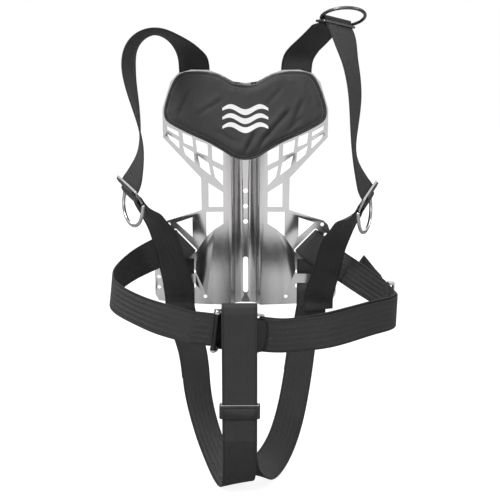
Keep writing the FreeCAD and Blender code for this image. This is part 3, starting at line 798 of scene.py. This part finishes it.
def dress_pad(pad, seam):
    """Wrinkles, the dent of the seam, and a back that lies flat on the plate."""
    sub = pad.modifiers.new("sub", "SUBSURF")
    sub.levels = 1
    sub.render_levels = 1
    apply_modifiers(pad)
    width = PAD_HIGH.x - PAD_LOW.x
    height = PAD_HIGH.z - PAD_LOW.z
    for v in pad.data.vertices:
        p = v.co
        if p.y > PAD_LOW.y + PAD_FRONT:
            p.y = min(p.y, PAD_HIGH.y)
            continue
        away = near_line(p, seam)
        dent = 0.7 * MM * math.exp(-((away / (1.7 * MM)) ** 2))
        f = Vector((p.x / width, 0.0, (p.z - PAD_LOW.z) / height))
        slant = noise.noise(Vector(((f.x + f.z * 0.55) * 17.0, 0.4, (f.x - f.z) * 2.6)))
        broad = noise.noise(Vector((f.x * 5.0, 7.7, f.z * 3.2)))
        pull = noise.noise(Vector((f.x * 26.0, 3.1, f.z * 7.0)))
        rim = math.exp(-away / (14 * MM))
        p.y += dent - 1.3 * MM * broad - 0.5 * MM * slant - 0.8 * MM * rim * pull
        p.y += sum(fold(f.x, f.z, width, height, *crease) for crease in CREASES)
        p.y = min(p.y, PAD_HIGH.y)
    pad.data.shade_smooth()


def binding_tube(line, material):
    """Rounded tape all round the pad's edge."""
    points = []
    faces = []
    count = len(line)
    steps = 14
    half_width, half_depth = 2.15 * MM, 2.9 * MM
    for i, p in enumerate(line):
        along = (line[(i + 1) % count] - line[i - 1]).normalized()
        outward = Vector((-along.z, 0, along.x))
        pucker = 1.0 + 0.05 * noise.noise(p * 260.0)
        for k in range(steps):
            turn = 2 * math.pi * k / steps
            points.append(p + outward * (half_width * math.cos(turn) * pucker)
                          + Vector((0, half_depth * math.sin(turn) * pucker, 0)))
    for i in range(count):
        for k in range(steps):
            a, b = i * steps + k, i * steps + (k + 1) % steps
            c = ((i + 1) % count) * steps
            faces.append((a, b, c + (k + 1) % steps, c + k))
    mesh = mesh_from("pad_edge_tape", points, faces)
    face_outwards(mesh)
    return new_piece("pad_edge_tape", mesh, material, "harness", "binding", "pad_binding")


def pad_surface(pad):
    """A finder of the cover's front point, and its normal, at any x and z."""
    shape = ray_shape(pad.data)

    def front(x, z):
        hit, normal, _, _ = shape.ray_cast(Vector((x, PAD_LOW.y - 0.1, z)), Vector((0, 1, 0)))
        return hit, normal
    return front


def pad_stitches(front, seam, material):
    """A row of threads in the pad's seam."""
    marks = []
    line = even_loop(seam, 190)
    for i, p in enumerate(line):
        hit, normal = front(p.x, p.z)
        if hit is not None:
            along = line[(i + 1) % len(line)] - line[i - 1]
            marks.append((hit + normal * (0.1 * MM), normal, along))
    return thread_mesh(marks, "pad_stitches", material, slot="pad_fabric")


def wave_print(front, material):
    """Three plain wavy bands printed on the pad."""
    points = []
    faces = []
    span = (PAD_HIGH.x - PAD_LOW.x) * 0.29
    middle = PAD_LOW.z + (PAD_HIGH.z - PAD_LOW.z) * 0.47
    swing = 4.6 * MM
    gap = 14.5 * MM
    columns = 56
    rows = 4
    for band in (-1, 0, 1):
        grid = []
        for i in range(columns + 1):
            f = i / columns
            x = span * (f - 0.5)
            rise = swing * math.sin(2 * math.pi * f * 1.5)
            half = swing * (0.35 + 0.65 * math.sin(math.pi * min(max(f, 0.02), 0.98)) ** 0.6)
            column = []
            for j in range(rows + 1):
                z = middle + band * gap + rise + half * (2 * j / rows - 1)
                hit, normal = front(x, z)
                column.append((hit + normal * (0.30 * MM), hit - normal * (0.1 * MM)))
            grid.append(column)
        base = len(points)
        high = rows + 1
        for side in (0, 1):
            points += [pair[side] for column in grid for pair in column]
        size = (columns + 1) * high
        for i in range(columns):
            for j in range(rows):
                a = base + i * high + j
                faces.append((a, a + 1, a + high + 1, a + high))
                faces.append((a + size, a + size + high, a + size + high + 1, a + size + 1))
        rim = [base + i * high for i in range(columns + 1)]
        rim += [base + columns * high + j for j in range(1, high)]
        rim += [base + i * high + rows for i in reversed(range(columns))]
        rim += [base + j for j in reversed(range(1, rows))]
        for a, b in zip(rim, rim[1:] + rim[:1]):
            faces.append((a, b, b + size, a + size))
    mesh = mesh_from("pad_print", points, faces)
    face_outwards(mesh)
    smooth_by_angle(mesh, 50)
    return new_piece("pad_print", mesh, material, "harness", "pad_fabric")


def make_pad(fabric, tape, thread, white):
    """The swollen pad with its seam, tape, stitches and print."""
    seam = pad_outline(SEAM_INSET)
    pad = pad_start()
    swell(pad, PAD_SWELL)
    dress_pad(pad, seam)
    pad.data.materials.clear()
    pad.data.materials.append(fabric)
    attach(pad, "harness")
    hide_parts("back_pad")
    binding_tube(pad_outline(TAPE_INSET, 420), tape)
    front = pad_surface(pad)
    pad_stitches(front, seam, thread)
    wave_print(front, white)


def finish_scene():
    """Floor, lights and the soft white studio round the object."""
    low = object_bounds()[0]
    mesh = bpy.data.meshes.new("floor")
    level = low.z - 3 * MM
    half = 7
    corners = ((-half, -half), (half, -half), (half, half), (-half, half))
    mesh.from_pydata([(x, y, level) for x, y in corners], [], [(0, 1, 2, 3)])
    floor = bpy.data.objects.new("floor", mesh)
    scene.collection.objects.link(floor)
    pale = Nodes("floor", Roughness=0.95, Specular_IOR_Level=0.0, Base_Color=(0.30, 0.30, 0.30, 1),
                 Emission_Color=(1, 1, 1, 1))
    seen = pale.add("LightPath").outputs["Is Camera Ray"]
    depth = pale.add("SeparateXYZ", {"Vector": object_place(pale)}).outputs[1]
    ahead = pale.maths("MAXIMUM", pale.maths("SUBTRACT", -0.6, depth), 0.0)
    front = pale.maths("SMOOTH_MIN", ahead, 1.0, 0.2)
    white, bounced = pale.maths("MULTIPLY", seen, 0.88), pale.maths("MULTIPLY", front, 0.8)
    pale.set("Emission Strength", pale.maths("MAXIMUM", white, bounced))
    mesh.materials.append(pale.material)
    studio_world()
    area_light("key", (-1.1, -1.5, 1.4), (0, -0.1, 0), 0.8, 42)
    area_light("fill", (1.7, -0.7, 1.0), (0, -0.1, 0), 1.0, 9)
    area_light("back", (-0.2, 1.7, 1.3), (0, 0, 0), 1.0, 10)


def studio_world():
    """White to the camera; for the light, brighter above and in front than at the sides."""
    world = bpy.data.worlds.new("studio")
    scene.world = world
    world.use_nodes = True
    tree = world.node_tree
    link = tree.links.new
    shell = tree.nodes["Background"]
    where = tree.nodes.new("ShaderNodeTexCoord")
    split = tree.nodes.new("ShaderNodeSeparateXYZ")
    link(where.outputs["Generated"], split.inputs[0])
    side = tree.nodes.new("ShaderNodeMath")
    side.operation = "ABSOLUTE"
    link(split.outputs["X"], side.inputs[0])
    width = tree.nodes.new("ShaderNodeValToRGB")
    levels = [(0.0, 1.0), (0.17, 1.0), (0.28, 0.25), (0.6, 0.05), (0.8, 0.30), (1.0, 0.45)]
    fill_ramp(width.color_ramp, [(at, grey(level)) for at, level in levels])
    link(side.outputs[0], width.inputs[0])
    above = tree.nodes.new("ShaderNodeValToRGB")
    levels = [(0.0, 0.0), (0.35, 0.0), (0.62, 0.75), (1.0, 0.85)]
    fill_ramp(above.color_ramp, [(at, grey(level)) for at, level in levels])
    link(split.outputs["Z"], above.inputs[0])
    join = tree.nodes.new("ShaderNodeMix")
    join.data_type = "RGBA"
    join.blend_type = "LIGHTEN"
    join.inputs["Factor"].default_value = 1.0
    link(width.outputs[0], join.inputs[6])
    link(above.outputs[0], join.inputs[7])
    seen = tree.nodes.new("ShaderNodeLightPath")
    pick = tree.nodes.new("ShaderNodeMix")
    pick.data_type = "RGBA"
    link(seen.outputs["Is Camera Ray"], pick.inputs["Factor"])
    link(join.outputs[2], pick.inputs[6])
    pick.inputs[7].default_value = (1, 1, 1, 1)
    link(pick.outputs[2], shell.inputs["Color"])
    shell.inputs["Strength"].default_value = 1.0


def area_light(name, place, target, size, watts):
    """A round lamp turned to a target."""
    data = bpy.data.lights.new(name, "AREA")
    data.shape = "DISK"
    data.size = size
    data.energy = watts
    lamp = bpy.data.objects.new(name, data)
    lamp.location = place
    lamp.rotation_euler = (Vector(target) - Vector(place)).to_track_quat("-Z", "Y").to_euler()
    scene.collection.objects.link(lamp)


scene.view_settings.view_transform = "Standard"
make_camera()
webbing = webbing_material()
plate_steel = steel_material("plate_steel", (0.62, 0.61, 0.61), 0.09, grain=0.16,
                             brush=(1.0, 1.0, 0.08), cut=0.3)
# The lever's steel is a much darker copy of the polished steel: painted shade.
painted_shade_lever_steel = steel_material("painted_shade_lever_steel", (0.05, 0.05, 0.052), 0.2)
# The top glide's and top ring's steel is a darker copy of the polished steel: painted shade.
painted_shade_steel = steel_material("painted_shade_steel", (0.16, 0.16, 0.165), 0.16)
bright_steel = steel_material("bright_steel", (0.74, 0.74, 0.75), 0.10)
black_metal = black_metal_material()

metal("back_plate", "harness", "plate_steel", plate_steel)
for fitting in ("chest_glide_left", "chest_glide_right", "buckle_base", "buckle_pin"):
    metal(fitting, "harness", "polished_steel", bright_steel)
metal("shoulder_glide_top", "harness", "polished_steel", painted_shade_steel)
for moving, finish in (("chest_ring_left", bright_steel), ("chest_ring_right", bright_steel),
                       ("shoulder_ring_top", painted_shade_steel), ("buckle_lever", painted_shade_lever_steel),
                       ("hip_keeper", bright_steel)):
    metal(moving, moving, "polished_steel", finish)
metal("crotch_slider", "crotch_slider", "black_metal", black_metal)

# Where the right shoulder strap leaves its top fitting, and the stretches that hang free,
# as lengths along the strap. A negative end counts back from the strap's far end.
TOP_FOLD = 232 * MM
DRAPED = {
    "shoulder_left_upper": [(82 * MM, -27 * MM)],
    "shoulder_right_upper": [(82 * MM, 125 * MM), (TOP_FOLD, -27 * MM)],
}
paths = {}
for strap in ("shoulder_left_upper", "shoulder_right_upper", "shoulder_left_lower",
              "shoulder_right_lower", "belt_left", "belt_right", "crotch_left", "crotch_right"):
    paths[strap] = ribbon(strap + "_web", strap, webbing, soft=DRAPED.get(strap, ()))
ribbon("slider_cover_web", "slider_cover", webbing, "crotch_slider", 48 * MM, 1.2 * MM, ripple=0.0)


def add_stitches(thread):
    """Sewn ends of the straps, and the slanting row below the top shoulder glide."""
    for name, path in paths.items():
        long = path.length
        if name.endswith("_lower"):
            lines = sewn_box(2.5 * MM, 9.5 * MM, cross=False)
        elif name.endswith("_upper"):
            at = long - 3 * MM
            lines = sewn_box(6 * MM, 34 * MM) + [((at, -21 * MM), (at, 21 * MM))]
        elif name == "belt_right":
            lines = sewn_box(long - 28 * MM, long - 4 * MM) + sewn_box(4 * MM, 30 * MM)
        elif name == "belt_left":
            at = long - 4 * MM
            lines = sewn_box(4 * MM, 30 * MM) + [((at, -22 * MM), (at, 22 * MM))]
        else:
            lines = sewn_box(5 * MM, 38 * MM)
        marks = sewn(path, lines)
        if name == "shoulder_right_upper":
            low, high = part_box("shoulder_glide_top")
            at = path.nearest((low + high) / 2) + 22 * MM
            right = 1 if path.at(at)[1].x > 0 else -1
            slant = ((at, 4 * MM * right), (at + 20 * MM, -24 * MM * right))
            marks += sewn(path, [slant], 3.2 * MM)
        thread_mesh(marks, name + "_stitches", thread)


thread = thread_material()
add_stitches(thread)
make_pad(pad_material(), binding_material(), thread, print_material())

finish_scene()
